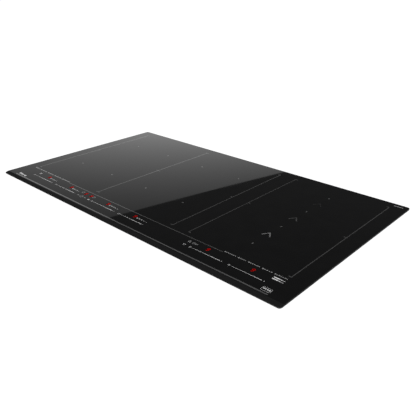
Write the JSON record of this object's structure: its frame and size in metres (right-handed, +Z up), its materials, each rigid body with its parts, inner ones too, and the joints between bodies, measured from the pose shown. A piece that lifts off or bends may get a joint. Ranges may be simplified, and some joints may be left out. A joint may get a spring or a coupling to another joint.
{
  "type": "electric induction cooktop",
  "caption": "Flat black glass induction cooktop for building into a worktop, with a touch control strip, cooking zones, red digit displays and a shallow steel housing set back underneath.",
  "frame": {"origin": "on the resting surface under the housing, below the middle of the glass", "axes": "+X to the right along the front edge of the glass, +Y to the back, +Z up out of the cooking surface"},
  "size_m": [0.9, 0.51, 0.044],
  "materials": {
    "glass_ceramic": "polished black glass ceramic, opaque from outside",
    "foam_seal": "matt closed-cell foam",
    "silicone": "satin silicone",
    "galvanised_steel": "hot-dip zinc with a soft spangle",
    "zinc_steel": "bright zinc plate",
    "aluminium_sheet": "mill finish sheet",
    "aluminium_extrusion": "extruded, fine lines",
    "mica": "matt mineral sheet",
    "carrier_plastic": "moulded, glass filled",
    "copper_wire": "enamelled stranded copper",
    "sensor_ceramic": "matt white ceramic",
    "circuit_board": "green solder mask",
    "display_window": "dark red tinted window",
    "black_plastic": "fine moulded grain",
    "grey_plastic": "fine moulded grain",
    "rubber_grommet": "moulded rubber"
  },
  "bodies": {
    "housing": {"glass_top": "glass_ceramic", "perimeter_seal": "foam_seal", "glass_adhesive": "silicone", "upper_frame": "galvanised_steel", "base_pan": "galvanised_steel", "coil_plate_left": "aluminium_sheet", "coil_plate_right": "aluminium_sheet", "insulation_mat_left": "mica", "insulation_mat_right": "mica", "control_holder": "black_plastic", "control_board": "circuit_board", "timer_display": "display_window", "power_board_left": "circuit_board", "power_board_right": "circuit_board", "filter_board": "circuit_board", "heatsink_left": "aluminium_extrusion", "heatsink_right": "aluminium_extrusion", "fan_housing_left": "black_plastic", "fan_housing_right": "black_plastic", "terminal_block": "black_plastic", "terminal_bezel": "black_plastic", "hinge_pin": "zinc_steel", "cable_grommet": "rubber_grommet", "coil_carrier_1": "carrier_plastic", "coil_winding_1": "copper_wire", "temperature_sensor_1": "sensor_ceramic", "zone_display_1": "display_window", "coil_carrier_2": "carrier_plastic", "coil_winding_2": "copper_wire", "temperature_sensor_2": "sensor_ceramic", "zone_display_2": "display_window", "coil_carrier_3": "carrier_plastic", "coil_winding_3": "copper_wire", "temperature_sensor_3": "sensor_ceramic", "zone_display_3": "display_window", "coil_carrier_4": "carrier_plastic", "coil_winding_4": "copper_wire", "temperature_sensor_4": "sensor_ceramic", "zone_display_4": "display_window", "coil_carrier_5": "carrier_plastic", "coil_winding_5": "copper_wire", "temperature_sensor_5": "sensor_ceramic", "zone_display_5": "display_window", "coil_carrier_6": "carrier_plastic", "coil_winding_6": "copper_wire", "temperature_sensor_6": "sensor_ceramic", "zone_display_6": "display_window", "clamp_screw_front_left": "zinc_steel", "clamp_screw_front_right": "zinc_steel", "clamp_screw_back_left": "zinc_steel", "clamp_screw_back_right": "zinc_steel", "frame_screw_left": "zinc_steel", "frame_screw_right": "zinc_steel"},
    "fan_left": {"fan_rotor_left": "grey_plastic"},
    "fan_right": {"fan_rotor_right": "grey_plastic"},
    "cover": {"terminal_cover": "grey_plastic"},
    "clamp_front_left": {"fixing_clamp_front_left": "galvanised_steel"},
    "clamp_front_right": {"fixing_clamp_front_right": "galvanised_steel"},
    "clamp_back_left": {"fixing_clamp_back_left": "galvanised_steel"},
    "clamp_back_right": {"fixing_clamp_back_right": "galvanised_steel"}
  },
  "joints": [
    {"name": "fan_left_spin", "type": "hinge", "parent": "housing", "child": "fan_left", "pos_m": [-0.262, 0.13, 0.0123], "axis": [0, 0, 1], "continuous": true},
    {"name": "fan_right_spin", "type": "hinge", "parent": "housing", "child": "fan_right", "pos_m": [0.262, 0.13, 0.0123], "axis": [0, 0, 1], "continuous": true},
    {"name": "clamp_front_left_swing", "type": "hinge", "parent": "housing", "child": "clamp_front_left", "pos_m": [-0.3, -0.2075, 0.0163], "axis": [0, 0, -1], "range_deg": [0, 90]},
    {"name": "clamp_front_right_swing", "type": "hinge", "parent": "housing", "child": "clamp_front_right", "pos_m": [0.3, -0.2075, 0.0163], "axis": [0, 0, 1], "range_deg": [0, 90]},
    {"name": "clamp_back_left_swing", "type": "hinge", "parent": "housing", "child": "clamp_back_left", "pos_m": [-0.3, 0.2155, 0.0163], "axis": [0, 0, 1], "range_deg": [0, 90]},
    {"name": "clamp_back_right_swing", "type": "hinge", "parent": "housing", "child": "clamp_back_right", "pos_m": [0.3, 0.2155, 0.0163], "axis": [0, 0, -1], "range_deg": [0, 90]},
    {"name": "terminal_cover_hinge", "type": "hinge", "parent": "housing", "child": "cover", "pos_m": [-0.02, 0.2122, 0.0208], "axis": [1, 0, 0], "range_deg": [0, 90]}
  ]
}
